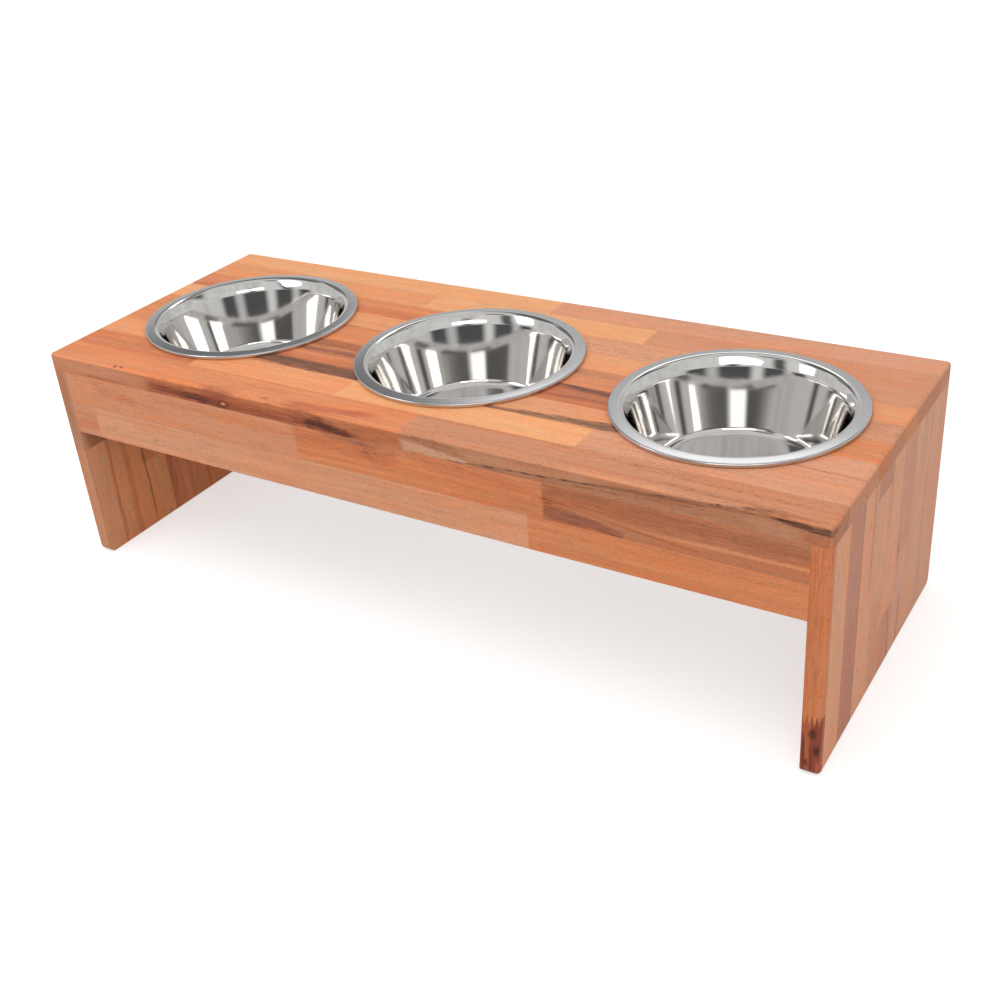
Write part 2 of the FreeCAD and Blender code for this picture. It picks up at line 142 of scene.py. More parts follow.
class Graph:
    """Nodes of one material or of the world."""

    def __init__(self, tree: bpy.types.NodeTree) -> None:
        """Empties a node tree and keeps it."""
        self.tree = tree
        tree.nodes.clear()

    def node(
        self,
        kind: str,
        settings: Optional[dict[str, Any]] = None,
        sockets: Optional[dict[Union[str, int], Any]] = None,
        output: Union[str, int] = 0,
    ) -> Signal:
        """Adds a node.

        Args:
            kind: The node's type.
            settings: Its properties, set first.
            sockets: Values or signals for its inputs, by name or number.
            output: The output that is wanted.

        Returns:
            The signal at that output.
        """
        made = self.tree.nodes.new(kind)
        for name, choice in (settings or {}).items():
            setattr(made, name, choice)
        for name, given in (sockets or {}).items():
            if isinstance(given, Signal):
                self.tree.links.new(given.socket, made.inputs[name])
            else:
                made.inputs[name].default_value = given
        outputs = made.outputs
        return Signal(self, outputs[output] if len(outputs) else None)

    def maths(self, operation: str, *values: Number) -> Signal:
        """Adds a Math node for one operation on its values."""
        return self.node("ShaderNodeMath", {"operation": operation}, dict(enumerate(values)))

    def step(self, value: Signal, low: float, high: float) -> Signal:
        """Rises smoothly from 0 at low to 1 at high, or falls where low is the larger."""
        settings = {"interpolation_type": "SMOOTHSTEP"}
        if low < high:
            return self.node("ShaderNodeMapRange", settings, {0: value, 1: low, 2: high})
        return self.node("ShaderNodeMapRange", settings, {0: value, 1: high, 2: low, 3: 1.0, 4: 0.0})

    def between(self, value: Signal, low: float, high: float) -> Signal:
        """Share of the way from low to high, held between 0 and 1."""
        return self.node("ShaderNodeMapRange", {}, {0: value, 1: low, 2: high})

    def join(self, x: Number, y: Number, z: Number) -> Signal:
        """Puts three values together as a vector."""
        return self.node("ShaderNodeCombineXYZ", {}, {0: x, 1: y, 2: z})

    def split(self, vector: Signal) -> tuple[Signal, Signal, Signal]:
        """Takes a vector apart."""
        parts = self.node("ShaderNodeSeparateXYZ", {}, {0: vector})
        outputs = parts.socket.node.outputs
        return Signal(self, outputs[0]), Signal(self, outputs[1]), Signal(self, outputs[2])

    def length(self, x: Number, y: Number, z: Number) -> Signal:
        """Length of the vector that three values make."""
        return self.node("ShaderNodeVectorMath", {"operation": "LENGTH"}, {0: self.join(x, y, z)}, "Value")

    def noise(self, place: Signal, detail: float, rough: float = 0.5) -> Signal:
        """Cloudy value from 0 to 1 whose features are about one unit wide."""
        sockets = {"Vector": place, "Scale": 1.0, "Detail": detail, "Roughness": rough}
        return self.node("ShaderNodeTexNoise", {}, sockets)

    def blend(self, share: Number, first: Any, second: Any, way: str = "MIX") -> Signal:
        """Mixes two colours, by default from the first to the second."""
        settings = {"data_type": "RGBA", "blend_type": way}
        return self.node("ShaderNodeMix", settings, {0: share, 6: paint(first), 7: paint(second)}, 2)

    def shade(self, colour: Signal, factor: Signal) -> Signal:
        """Multiplies a colour by a value."""
        return self.node("ShaderNodeVectorMath", {"operation": "SCALE"}, {0: colour, 3: factor})

    def coordinates(self, kind: str) -> tuple[Signal, Signal, Signal]:
        """Gives the point's place or normal on its piece, taken apart."""
        return self.split(self.node("ShaderNodeTexCoord", {}, {}, kind))

    def millimetres(self) -> list[Signal]:
        """Gives the point's place on its piece, in mm."""
        return [part * PER_METRE for part in self.coordinates("Object")]

    def attribute(self, name: str, output: str = "Color") -> Signal:
        """Reads what a mesh keeps under a name."""
        return self.node("ShaderNodeAttribute", {"attribute_name": name}, {}, output)

    def bump(self, height: Signal, strength: float, distance: float) -> Signal:
        """Tilts the surface by a relief."""
        sockets = {"Strength": strength, "Distance": distance, "Height": height}
        return self.node("ShaderNodeBump", {}, sockets)

    def principled(self, sockets: dict[Union[str, int], Any]) -> None:
        """Ends a material with a Principled shader."""
        self.surface(self.node("ShaderNodeBsdfPrincipled", {}, sockets))

    def surface(self, shader: Signal, kind: str = "Material") -> None:
        """Ends a material, or the world, with a shader."""
        self.node(f"ShaderNodeOutput{kind}", {}, {"Surface": shader})


def paint(colour: Any) -> Any:
    """Gives a plain colour the fourth number that a socket wants."""
    return colour if isinstance(colour, Signal) else (*colour, 1.0)


def new_material(name: str) -> tuple[bpy.types.Material, Graph]:
    """Starts a material with an empty graph."""
    made = bpy.data.materials.new(name)
    made.use_nodes = True
    return made, Graph(made.node_tree)


def put(name: str, data: bpy.types.ID) -> bpy.types.Object:
    """Puts a mesh, a lamp or a camera into the scene."""
    made = bpy.data.objects.new(name, data)
    bpy.context.scene.collection.objects.link(made)
    return made


def dress_node(node: str, material: bpy.types.Material) -> bpy.types.Mesh:
    """Gives a solid its one material, and hands back its mesh."""
    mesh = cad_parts[node].data
    mesh.materials.clear()
    mesh.materials.append(material)
    return mesh


@dataclass(frozen=True)
class GrainSignals:
    """What a beech material knows about the point that it colours."""

    along: Signal
    across: Signal
    deep: Signal
    wavy_across: Signal
    wavy_deep: Signal
    fibre: Signal
    mottle: Signal
    drift: Signal
    dashes: Signal
    bands: Signal
    fleck: Signal
    ring: Signal
    ragged: Signal
    threads: Signal
    stave: Signal
    found: dict[int, Signal] = field(default_factory=dict)

    def on(self, stave: int) -> Signal:
        """Is 1 on the stave of that number."""
        if stave not in self.found:
            self.found[stave] = self.stave.graph.maths("COMPARE", self.stave, float(stave), 0.5)
        return self.found[stave]


@dataclass(frozen=True)
class Streak:
    """A band of other colour along the grain of one stave. Places are along, across and deep, in mm.

    Its reach is half its width and half its depth. With no depth given it goes right through the wood.
    """

    stave: int
    start: tuple[float, ...]
    end: tuple[float, ...]
    reach: tuple[float, ...]
    tint: Beech
    strength: float = 0.7
    taper: float = 1.0
    fade: float = 25.0
    broken: float = 0.0
    soft: float = 0.35
    grainy: float = 0.45
    rim: float = 0.85
    fade_inside: float = 0.3

    def mask(self, graph: Graph, grain: GrainSignals) -> Signal:
        """Builds how strongly the streak colours a point.

        Args:
            graph: The material's nodes.
            grain: The point's place in the wood.

        Returns:
            A value from 0 to the streak's strength.
        """
        share = graph.between(grain.along, self.start[0], self.end[0])
        off = abs(self.offset(share, grain.wavy_across, 1))
        if len(self.reach) > 1:
            off = graph.length(off, self.offset(share, grain.wavy_deep, 2), 0.0)
        if self.taper != 1.0:
            off = off / (share * (self.taper - 1.0) + 1.0)
        inside = graph.step(off + grain.ragged, self.rim + self.soft, self.rim - self.soft)
        inner = self.fade * self.fade_inside
        starts = graph.step(grain.along, self.start[0] - self.fade, self.start[0] + inner)
        ends = graph.step(grain.along, self.end[0] + self.fade, self.end[0] - inner)
        strength = self.strength - grain.threads * (self.grainy * self.strength)
        mask = inside * (starts * ends) * grain.on(self.stave) * strength
        if self.broken > 0.0:
            mask = mask * (grain.dashes * self.broken + (1.0 - self.broken))
        return mask

    def offset(self, share: Signal, place: Signal, axis: int) -> Signal:
        """Measures how far a point is from the streak's line along one axis, in reaches."""
        line = share * (self.end[axis] - self.start[axis]) + self.start[axis]
        return (place - line) / self.reach[axis - 1]


@dataclass(frozen=True)
class Knot:
    """A knot: a dark oval with a darker ring, and now and then a pale middle. Sizes are in mm."""

    stave: int
    place: Place
    radii: Place
    tint: Beech = Beech.KNOT
    strength: float = 0.9
    pale_middle: float = 0.0

    def colour(self, graph: Graph, grain: GrainSignals, wood: Signal) -> Signal:
        """Lays the knot over the wood.

        Args:
            graph: The material's nodes.
            grain: The point's place in the wood.
            wood: The colour under the knot.

        Returns:
            The colour with the knot.
        """
        along = (grain.along - self.place[0]) / self.radii[0]
        across = (grain.across - self.place[1]) / self.radii[1]
        deep = (grain.deep - self.place[2]) / self.radii[2]
        off = graph.length(along, across, deep) + (grain.mottle - 0.5) * 0.8
        here = grain.on(self.stave)
        rings = graph.step(abs((off * 3.0) % 1.0 - 0.5), 0.1, 0.45)
        dark = graph.step(off, 1.25, 0.35) * here * (0.75 + rings * 0.25) * self.strength
        dressed = graph.blend(dark, wood, self.tint.value)
        if self.pale_middle > 0.0:
            pale = graph.step(off, 0.42, 0.22) * here * self.pale_middle
            dressed = graph.blend(pale, dressed, Beech.HONEY.value)
        return dressed


@dataclass(frozen=True)
class Length:
    """Look of one length of a stave: its tone, the tone of its figure and how strong the figure is."""

    tone: Beech
    figure: Beech
    bands: float = 0.5
    flecks: float = 0.55


@dataclass(frozen=True)
class Cloud:
    """A cloudy pattern in wood: how long and wide its features are in mm, and how fine they get."""

    long: float
    wide: float
    detail: float
    rough: float = 0.5

    def value(self, graph: Graph, along: Signal, across: Signal, deep: Signal) -> Signal:
        """Builds the pattern, from 0 to 1."""
        place = graph.join(along / self.long, across / self.wide, deep / self.wide)
        return graph.noise(place, self.detail, self.rough)


@dataclass(frozen=True)
class OiledBeech:
    """Oiled beech. Tones come from each length's attributes; streaks and knots are this panel's own."""

    name: str
    grain: Grain
    streaks: tuple[Streak, ...] = ()
    knots: tuple[Knot, ...] = ()
    seam_start: float = -171.0
    seam_pitch: float = 38.0
    roughness: float = 0.5
    gloss: float = 0.14
    end_grain: Colour = (0.90, 0.88, 0.85)
    # How much lighter rounded edges are painted: a painted highlight on the rounding
    edge_highlight: float = 0.05
    red_patch: Colour = (0.95, 0.83, 0.74)
    pore: Colour = (0.60, 0.46, 0.38)
    wander: Cloud = Cloud(130.0, 45.0, 2.0)
    wander_width: float = 12.0
    drift: Cloud = Cloud(110.0, 19.0, 2.0)
    mottle: Cloud = Cloud(15.0, 4.2, 4.0, 0.65)
    fibre: Cloud = Cloud(26.0, 1.4, 5.0, 0.65)
    broad: Cloud = Cloud(190.0, 6.5, 4.0, 0.6)
    speck: Cloud = Cloud(4.2, 0.85, 2.0)
    dash: Cloud = Cloud(9.0, 1.7, 1.0)
    ring_width: float = 3.7

    def material(self) -> bpy.types.Material:
        """Makes the material.

        Returns:
            The finished material.
        """
        made, graph = new_material(self.name)
        grain = self.wood(graph)
        facing = [abs(part) for part in graph.coordinates("Normal")]
        ends = graph.step(facing[self.grain.value[0]], 0.72, 0.98)
        flattest = graph.maths("MAXIMUM", graph.maths("MAXIMUM", facing[0], facing[1]), facing[2])
        # Mask of rounded edges: it paints their colour a little lighter as a painted highlight, and lowers
        # their roughness as real wear
        highlight_and_wear = graph.step(flattest, 0.985, 0.85)
        colour = graph.shade(self.colour(graph, grain, ends), highlight_and_wear * self.edge_highlight + 1.0)
        rough = self.roughness + (grain.fibre - 0.5) * 0.3 + ends * 0.12 + grain.fleck * 0.1
        relief = grain.fibre * 0.7 - grain.fleck * 0.6 - grain.ring * 0.2
        graph.principled(
            {
                "Base Color": colour,
                "Roughness": rough - highlight_and_wear * 0.08,
                "Normal": graph.bump(relief, strength=0.3, distance=0.15 * MM),
                "Specular IOR Level": self.gloss,
            }
        )
        return made

    def colour(self, graph: Graph, grain: GrainSignals, ends: Signal) -> Signal:
        """Lays figure, streaks, knots, fibres, pores and glue lines over each length's tone.

        Args:
            graph: The material's nodes.
            grain: The point's place in the wood.
            ends: Is 1 on end grain.

        Returns:
            The wood's colour.
        """
        colour = graph.blend(grain.bands, graph.attribute("tone"), graph.attribute("figure"))
        for streak in self.streaks:
            colour = graph.blend(streak.mask(graph, grain), colour, streak.tint.value)
        for knot in self.knots:
            colour = knot.colour(graph, grain, colour)
        reds = graph.step(grain.drift + (grain.mottle - 0.5) * 0.7, 0.40, 0.68)
        colour = graph.blend(reds, colour, self.red_patch, "MULTIPLY")
        light = 1.04 + (grain.drift - 0.5) * 0.45 + (grain.mottle - 0.5) * 0.5 + (grain.fibre - 0.5) * 0.55
        colour = graph.shade(colour, light - grain.ring * (0.03 + ends * 0.12))
        colour = graph.blend(grain.fleck, colour, self.pore, "MULTIPLY")
        colour = graph.blend(ends, colour, self.end_grain, "MULTIPLY")
        half = self.seam_pitch / 2
        off_middle = abs((grain.across - self.seam_start) % self.seam_pitch - half)
        seam = graph.step(off_middle, half - 0.4, half - 0.1)
        return graph.shade(colour, 1.0 - seam * (1.0 - ends) * grain.drift * 0.4)

    def wood(self, graph: Graph) -> GrainSignals:
        """Builds the grain as a solid texture.

        Args:
            graph: The material's nodes.

        Returns:
            The point's place, and the fibres, clouds, bands, flecks and growth rings there.
        """
        parts = graph.millimetres()
        along, across, deep = (parts[axis] for axis in self.grain.value)
        shift, side, depth = graph.split(graph.attribute("pith", "Vector"))
        band_share, fleck_share, stave = graph.split(graph.attribute("traits", "Vector"))
        moved = along + shift
        wander = (self.wander.value(graph, moved, across, deep) - 0.5) * self.wander_width
        bent = across + wander
        clouds = (self.drift, self.mottle, self.fibre, self.broad)
        drift, mottle, fibre, broad = (cloud.value(graph, moved, bent, deep) for cloud in clouds)
        radius = graph.length(bent - side, deep - depth, 0.0)
        phase = (radius / self.ring_width + broad * 3.5 + mottle * 0.5) % 1.0
        ring = graph.step(phase, 0.45, 0.95) * (1.0 - graph.step(phase, 0.95, 1.0))
        speck = self.speck.value(graph, moved, across, deep)
        dashes = graph.step(self.dash.value(graph, moved, across, deep), 0.5, 0.6)
        return GrainSignals(
            along=along,
            across=across,
            deep=deep,
            wavy_across=across + wander * 0.22,
            wavy_deep=deep + wander * 0.13,
            fibre=fibre,
            mottle=mottle,
            drift=drift,
            dashes=dashes,
            bands=graph.step(broad + (fibre - 0.5) * 0.4, 0.36, 0.66) * band_share,
            fleck=graph.step(speck, 0.55, 0.72) * fleck_share,
            ring=ring,
            ragged=(fibre - 0.5) * 1.1 + (mottle - 0.5) * 0.9,
            threads=graph.between(fibre, 0.42, 0.62),
            stave=stave,
        )


@dataclass(frozen=True)
class RawDowel:
    """Turned beech dowel, left raw, with cloudy fibre."""

    name: str = "raw_dowel_beech"
    tone: Colour = (0.70, 0.47, 0.29)
    dark: Colour = (0.52, 0.31, 0.17)
    fibre_size: float = 3.0

    def material(self) -> bpy.types.Material:
        """Makes the material.

        Returns:
            The finished material.
        """
        made, graph = new_material(self.name)
        place = graph.join(*(part / self.fibre_size for part in graph.millimetres()))
        fibre = graph.noise(place, 4.0)
        colour = graph.blend(graph.step(fibre, 0.35, 0.7), self.tone, self.dark)
        normal = graph.bump(fibre, strength=0.2, distance=0.1 * MM)
        graph.principled({"Base Color": colour, "Roughness": 0.55 + fibre * 0.2, "Normal": normal})
        return made


@dataclass(frozen=True)
class Steel:
    """Stainless steel with fine spinning marks, from mirror polish to satin."""

    name: str
    tint: Colour
    roughness: float
    marks: float
    dents: float

    def material(self) -> bpy.types.Material:
        """Makes the material.

        Returns:
            The finished material.
        """
        made, graph = new_material(self.name)
        x, y, z = graph.millimetres()
        radius = graph.length(x, y, 0.0)
        lines = graph.noise(graph.join(radius / 0.35, z / 0.35, 0.0), 3.0)
        wave = graph.noise(graph.join(x / 34.0, y / 34.0, z / 60.0), 1.0)
        smear = graph.noise(graph.join(x / 18.0, y / 18.0, z / 18.0), 3.0)
        rough = self.roughness * (0.8 + smear * 0.4) + (lines - 0.5) * self.marks * 0.1
        relief = lines * self.marks + wave * self.dents
        normal = graph.bump(relief, strength=0.3, distance=0.2 * MM)
        colour = graph.blend(smear, tuple(0.92 * part for part in self.tint), self.tint)
        graph.principled({"Base Color": colour, "Metallic": 1.0, "Roughness": rough, "Normal": normal})
        return made


@dataclass
class Panel:
    """Boards glued up from staves: each length of a stave gets its own tone, figure and pith."""

    label: str = "panel"
    stem: str = "panel_stave"
    first_stave: int = 1
    front: float = -171.0
    overlap: float = 0.05 * MM
    shortest: float = 18 * MM
    pith_shift: float = 4000.0
    pith_side: Pair = (20.0, 150.0)
    pith_depth: Pair = (30.0, 120.0)

    def finish(self) -> OiledBeech:
        """Describes the panel's wood."""
        raise NotImplementedError

    def looks(self) -> tuple[list[Length], ...]:
        """Describes the lengths of each stave, in the order of the staves."""
        raise NotImplementedError

    def nodes(self) -> list[str]:
        """Names the staves in their order."""
        after = self.first_stave + len(self.looks())
        return [f"{self.stem}_{number}" for number in range(self.first_stave, after)]

    def band(
        self,
        stave: int,
        start: Pair,
        end: Pair,
        reach: float,
        tint: Beech,
        strength: float,
        **traits: float,
    ) -> Streak:
        """Describes a streak that goes right through the panel.

        Args:
            stave: The stave's number.
            start: Where it starts, along and across.
            end: Where it ends.
            reach: Half its width.
            tint: Its colour.
            strength: How much it covers.
            traits: Its other traits.

        Returns:
            The streak.
        """
        return Streak(stave, start, end, (reach,), tint, strength, **traits)

    def edge(
        self,
        start: Pair,
        end: Pair,
        reach: Pair,
        tint: Beech,
        strength: float,
        **traits: float,
    ) -> Streak:
        """Describes a streak on the front edge of the first stave.

        Args:
            start: Where it starts, along the grain and along the edge's other side.
            end: Where it ends.
            reach: How far it goes in, and half its width.
            tint: Its colour.
            strength: How much it covers.
            traits: Its other traits.

        Returns:
            The streak.
        """
        first, last = ((along, self.front, deep) for along, deep in (start, end))
        return Streak(1, first, last, reach, tint, strength, **traits)

    def dress(self) -> None:
        """Gives every stave the panel's finish, and each of its lengths its own look."""
        finish = self.finish()
        material = finish.material()
        axis = finish.grain.value[0]
        for number, (node, looks) in enumerate(zip(self.nodes(), self.looks()), start=self.first_stave):
            mesh = dress_node(node, material)
            rank = self.length_of_faces(mesh, axis)
            if rank.max() + 1 != len(looks):
                raise ValueError(f"{node} has {rank.max() + 1} lengths and {len(looks)} looks")
            self.mark(mesh, number, rank, looks, random.Random(node))
            log.info("%s: %s in %d lengths", self.label, node, len(looks))

    def length_of_faces(self, mesh: bpy.types.Mesh, axis: int) -> np.ndarray:
        """Finds which length of a stave each face belongs to.

        Args:
            mesh: The stave.
            axis: The axis that its fibres run along.

        Returns:
            One number for each face, counted along the axis.
        """
        patch = patches(mesh)
        corners = np.zeros(len(mesh.vertices) * 3, np.float32)
        mesh.vertices.foreach_get("co", corners)
        height = corners.reshape(-1, 3)[:, axis]
        low = np.full(patch.max() + 1, np.inf)
        high = np.full(patch.max() + 1, -np.inf)
        np.minimum.at(low, patch, height)
        np.maximum.at(high, patch, height)
        cuts = []
        reached = None
        for start, end in sorted(zip(low, high)):
            if end - start < self.shortest:
                continue
            if reached is not None and start > reached - self.overlap:
                cuts.append((start + reached) / 2)
                reached = end
            reached = end if reached is None else max(reached, end)
        starts = np.zeros(len(mesh.polygons), np.int32)
        mesh.polygons.foreach_get("loop_start", starts)
        loops = np.zeros(len(mesh.loops), np.int32)
        mesh.loops.foreach_get("vertex_index", loops)
        return np.searchsorted(cuts, ((low + high) / 2)[patch[loops[starts]]])

    def mark(
        self,
        mesh: bpy.types.Mesh,
        stave: int,
        rank: np.ndarray,
        looks: list[Length],
        dice: random.Random,
    ) -> None:
        """Writes each face's look where the finish reads it.

        Args:
            mesh: The stave.
            stave: Its number in the panel.
            rank: Which length each face belongs to.
            looks: The look of each length.
            dice: Gives each length the place of its pith.
        """
        tones = np.array([(*look.tone.value, 1.0) for look in looks])
        figures = np.array([(*look.figure.value, 1.0) for look in looks])
        traits = np.array([(look.bands, look.flecks, stave) for look in looks], float)
        piths = []
        for _ in looks:
            side = dice.choice((-1, 1)) * dice.uniform(*self.pith_side)
            shift = dice.uniform(-self.pith_shift, self.pith_shift)
            piths.append((shift, side, dice.choice((-1, 1)) * dice.uniform(*self.pith_depth)))
        write_faces(mesh, "tone", "FLOAT_COLOR", "color", tones[rank])
        write_faces(mesh, "figure", "FLOAT_COLOR", "color", figures[rank])
        write_faces(mesh, "traits", "FLOAT_VECTOR", "vector", traits[rank])
        write_faces(mesh, "pith", "FLOAT_VECTOR", "vector", np.array(piths)[rank])


def write_faces(mesh: bpy.types.Mesh, name: str, kind: str, slot: str, values: np.ndarray) -> None:
    """Stores one value for each face under a name."""
    layer = mesh.attributes.new(name, kind, "FACE")
    layer.data.foreach_set(slot, values.astype(np.float32).ravel())


def patches(mesh: bpy.types.Mesh) -> np.ndarray:
    """Numbers the connected patches of a mesh.

    Args:
        mesh: The mesh.

    Returns:
        The patch of each vertex, counted from 0.
    """
    chief = list(range(len(mesh.vertices)))

    def root(vertex: int) -> int:
        """Follows a vertex to the chief of its patch."""
        while chief[vertex] != vertex:
            chief[vertex] = chief[chief[vertex]]
            vertex = chief[vertex]
        return vertex

    for edge in mesh.edges:
        first, second = (root(vertex) for vertex in edge.vertices)
        chief[second] = first
    roots = [root(vertex) for vertex in range(len(chief))]
    return np.unique(roots, return_inverse=True)[1]


@dataclass
class TopBoard(Panel):
    """Top board of nine staves, from the front one to the back one. Streaks are placed in mm."""

    label: str = "top board"
    stem: str = "top_stave"

    def finish(self) -> OiledBeech:
        """Describes the board's wood."""
        streaks = self.streaks_on_top() + self.streaks_on_left_edge() + self.streaks_on_right_edge()
        return OiledBeech("top_beech", Grain.FLAT, streaks, self.knots())

    def streaks_on_top(self) -> tuple[Streak, ...]:
        """Describes the dark heart between the bowls, and the dashes on the front right."""
        return (
            self.band(3, (-240, -80), (-70, -86), 13, Beech.HEART, 0.92, taper=1.15, fade=40, grainy=0.25),
            self.band(3, (-240, -66), (-80, -67), 8, Beech.AMBER, 0.9, soft=0.6),
            self.band(3, (70, -92), (228, -86), 2.6, Beech.HEART, 0.9, taper=3.4, fade=20),
            self.band(3, (90, -66), (228, -62), 7, Beech.ROSE, 0.6, soft=0.7),
            self.band(3, (380, -86), (455, -88), 1.6, Beech.UMBER, 0.45, fade=30),
            self.band(4, (-215, -29), (-80, -27), 11, Beech.UMBER, 0.95, soft=0.5, grainy=0.35),
            self.band(4, (-215, -47), (-80, -45), 4.5, Beech.PLUM, 0.9, soft=0.5),
            self.band(4, (95, -30), (215, -31), 12, Beech.RUSSET, 0.5, fade=40, soft=0.6),
            self.band(
                4, (122, -22), (205, -28), 5, Beech.PLUM, 0.95, taper=1.2, fade=16, soft=0.7, grainy=0.3
            ),
            self.band(4, (135, -23), (195, -27), 4, Beech.HEART, 0.75, fade=16, soft=0.7),
            self.band(4, (105, -46), (190, -42), 3.5, Beech.PLUM, 0.65),
            self.band(5, (95, 12), (210, 14), 8, Beech.CLAY, 0.5, soft=0.7),
            self.band(6, (-205, 20.5), (-95, 20), 1.7, Beech.UMBER, 0.7),
            self.band(7, (-460, 62), (-90, 64), 9, Beech.RUSSET, 0.45, soft=0.7),
            self.band(7, (120, 70), (300, 73), 6, Beech.CLAY, 0.45, broken=1.0, soft=0.7),
            self.band(1, (190, -139), (400, -148), 4.5, Beech.UMBER, 0.6, fade=40, broken=1.0),
            self.band(2, (200, -131), (330, -131), 2.2, Beech.UMBER, 0.45, fade=30, broken=1.0),
            Streak(1, (300, -160, 262), (455, -167, 262), (3, 8), Beech.UMBER, 0.6, fade=40, broken=0.5),
        )

    def streaks_on_left_edge(self) -> tuple[Streak, ...]:
        """Describes the red heart left of the joint, with its dark core and the red wave over the top."""
        return (
            self.edge((-452, 252), (-320, 250), (9, 9), Beech.BLUSH, 0.65, fade=40, soft=0.6),
            self.edge((-270, 249), (30, 245), (12, 11), Beech.AMBER, 0.8, fade=40, soft=0.6),
            self.edge((-395, 242), (-345, 241.5), (7, 2.5), Beech.RUSSET, 0.7, fade=20, broken=0.6),
            self.edge((-298, 245), (-195, 246), (12, 9), Beech.RUSSET, 0.95, taper=1.2, fade=14),
            self.edge((-285, 247), (-205, 245), (10, 3.6), Beech.GARNET, 0.85, taper=1.6, fade=20),
            self.edge((-245, 246), (-196, 244), (8, 4), Beech.KNOT, 0.6, fade=20, soft=0.6),
            self.edge((-215, 258), (-185, 257), (9, 4), Beech.PLUM, 0.7, fade=14, soft=0.5),
            self.edge((-190, 248), (-20, 243), (8, 7), Beech.RUSSET, 0.85, taper=0.9, fade=40, soft=0.5),
            self.edge((-195, 243), (-90, 243), (9, 4), Beech.GARNET, 0.3, soft=0.6),
            self.edge((-100, 250), (-62, 247), (9, 7), Beech.GARNET, 0.55, taper=1.2, fade=16),
            self.edge((-72, 250), (-30, 241), (10, 8), Beech.GARNET, 0.85, taper=0.6, fade=14),
            self.edge((-68, 247), (-34, 242), (9, 4), Beech.KNOT, 0.65, taper=0.6, fade=12, grainy=0.3),
            Streak(1, (-105, -168, 260), (-20, -156, 260), (9, 9), Beech.RUSSET, 0.9, taper=0.8, soft=0.5),
        )

    def streaks_on_right_edge(self) -> tuple[Streak, ...]:
        """Describes the pale block right of the joint, and the brown lines that rise to the corner."""
        return (
            self.edge((33, 246), (105, 241), (6, 7), Beech.CREAM, 1.0, taper=0.45, fade=7, grainy=0.4),
            self.edge((105, 249), (235, 252), (7, 5), Beech.PEACH, 0.75, soft=0.7),
            self.edge((215, 257), (300, 257), (7, 4), Beech.PEACH, 0.6, fade=20, soft=0.7),
            self.edge((385, 247), (415, 246), (7, 7), Beech.BLUSH, 0.7, fade=15, soft=0.6),
            self.edge((42, 257), (92, 251), (8, 4), Beech.UMBER, 0.65, fade=18, broken=0.5, soft=0.6),
            self.edge((85, 240.5), (400, 260), (6, 1.1), Beech.HEART, 0.95, taper=1.6, broken=0.6),
            self.edge((150, 241), (330, 250), (6, 1.4), Beech.UMBER, 0.75, fade=30, broken=0.7),
            self.edge((285, 251), (405, 259), (6, 1.6), Beech.UMBER, 0.8, taper=1.4, fade=30, broken=0.4),
            self.edge((240, 249), (370, 247), (6, 4), Beech.CLAY, 0.3, fade=40, soft=0.8),
            self.edge((404, 256.5), (447, 254), (7, 2), Beech.KNOT, 0.85, taper=2.0, fade=10),
            self.edge((428, 245), (455, 243), (7, 5), Beech.AMBER, 0.8, fade=10, soft=0.6),
        )

    def knots(self) -> tuple[Knot, ...]:
        """Describes the knots of the front stave."""
        return (
            Knot(1, (-140, -165, 260), (6, 3, 4), Beech.RUSSET),
            Knot(1, (-349, -168, 260), (3, 2, 3), Beech.GARNET),
            Knot(1, (-341, -167, 260), (3, 2, 3), Beech.GARNET),
            Knot(1, (-194, self.front, 245.5), (9, 6, 5), Beech.GARNET, 0.9, pale_middle=1.0),
            Knot(1, (-80, self.front, 247), (10, 6, 4.5), Beech.KNOT, 0.8),
        )

    def looks(self) -> tuple[list[Length], ...]:
        """Describes each length of each stave."""
        return (
            [Length(Beech.ORANGE, Beech.AMBER), Length(Beech.TAN, Beech.CLAY, flecks=0.8)],
            [
                Length(Beech.AMBER, Beech.ORANGE, 0.6), Length(Beech.APRICOT, Beech.ORANGE),
                Length(Beech.HONEY, Beech.APRICOT), Length(Beech.BLUSH, Beech.TAN, flecks=0.7),
            ],
            [
                Length(Beech.APRICOT, Beech.ORANGE), Length(Beech.ORANGE, Beech.AMBER, 0.6),
                Length(Beech.APRICOT, Beech.ROSE), Length(Beech.BLUSH, Beech.ROSE),
            ],
            [
                Length(Beech.ORANGE, Beech.AMBER, 0.6), Length(Beech.ORANGE, Beech.UMBER, 0.7),
                Length(Beech.AMBER, Beech.CLAY, 0.6), Length(Beech.ORANGE, Beech.AMBER),
            ],
            [
                Length(Beech.ORANGE, Beech.AMBER), Length(Beech.ORANGE, Beech.AMBER),
                Length(Beech.ORANGE, Beech.CLAY, 0.6), Length(Beech.ROSE, Beech.TAN),
            ],
            [
                Length(Beech.HONEY, Beech.APRICOT), Length(Beech.APRICOT, Beech.ORANGE),
                Length(Beech.APRICOT, Beech.PEACH), Length(Beech.APRICOT, Beech.ORANGE),
            ],
            [
                Length(Beech.ORANGE, Beech.AMBER), Length(Beech.ORANGE, Beech.AMBER),
                Length(Beech.PEACH, Beech.TAN, flecks=1.0), Length(Beech.ROSE, Beech.TAN, flecks=0.6),
            ],
            [
                Length(Beech.APRICOT, Beech.ORANGE), Length(Beech.HONEY, Beech.APRICOT),
                Length(Beech.ROSE, Beech.TAN),
            ],
            [
                Length(Beech.HONEY, Beech.APRICOT), Length(Beech.BLUSH, Beech.TAN),
                Length(Beech.BLUSH, Beech.ROSE),
            ],
        )


